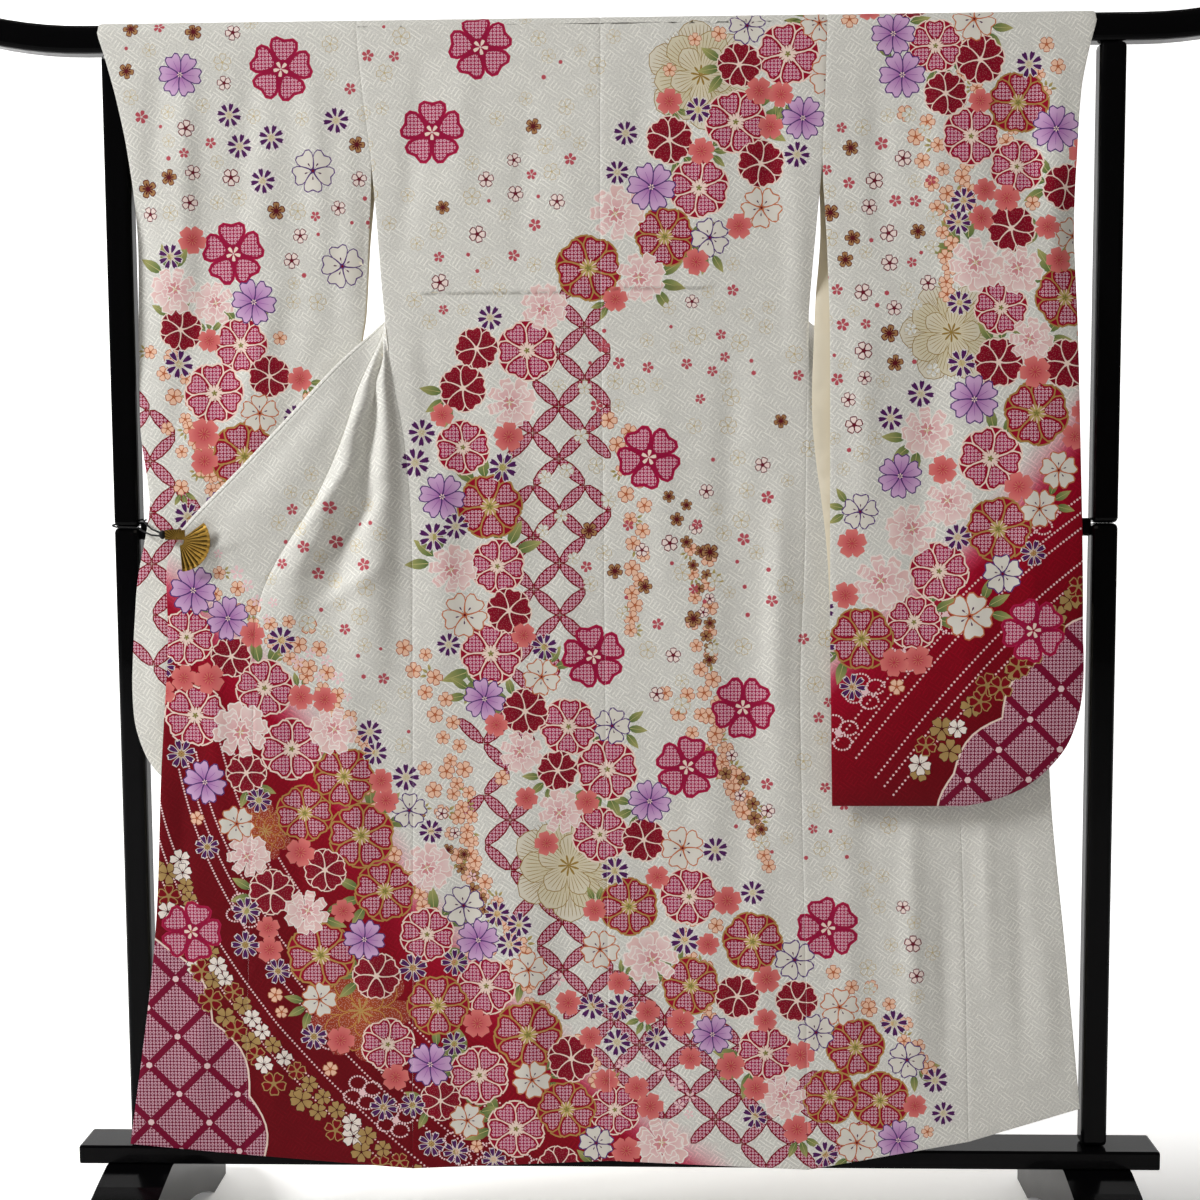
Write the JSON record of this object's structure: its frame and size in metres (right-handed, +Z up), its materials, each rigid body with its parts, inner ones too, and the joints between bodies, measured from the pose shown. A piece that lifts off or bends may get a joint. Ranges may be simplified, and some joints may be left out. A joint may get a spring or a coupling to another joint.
{
  "type": "furisode kimono on kimono stand",
  "caption": "Long-sleeved silk kimono hung open over a black lacquered kimono stand, seen from its back, with one front tied aside to the upright.",
  "frame": {"origin": "on the floor under the middle of the stand", "axes": "+Z up; +X to the right of a viewer who sees the garment's back; -Y towards that viewer"},
  "size_m": [1.72, 0.5, 1.7113],
  "materials": {
    "silk": "figured silk satin, dyed, soft sheen",
    "lacquer": "black lacquer, high gloss",
    "brass": "pleated sheet, satin",
    "cord": "round braided cord"
  },
  "bodies": {
    "root": {"back_left": "silk", "back_right": "silk", "front_left": "silk", "front_right": "silk", "front_shoulder_left": "silk", "front_shoulder_right": "silk", "overlap_left": "silk", "overlap_right": "silk", "collar": "silk", "sleeve_left_near": "silk", "sleeve_left_far": "silk", "sleeve_right_near": "silk", "sleeve_right_far": "silk", "stand_bar": "lacquer", "stand_upright_upper_left": "lacquer", "stand_upright_upper_right": "lacquer", "stand_upright_lower_left": "lacquer", "stand_upright_lower_right": "lacquer", "stand_rail": "lacquer", "stand_base_beam": "lacquer", "stand_foot_left": "lacquer", "stand_foot_right": "lacquer", "clip_fan": "brass", "clip_jaw": "brass", "tie_knot": "cord", "tie_cord": "cord"}
  },
  "joints": []
}
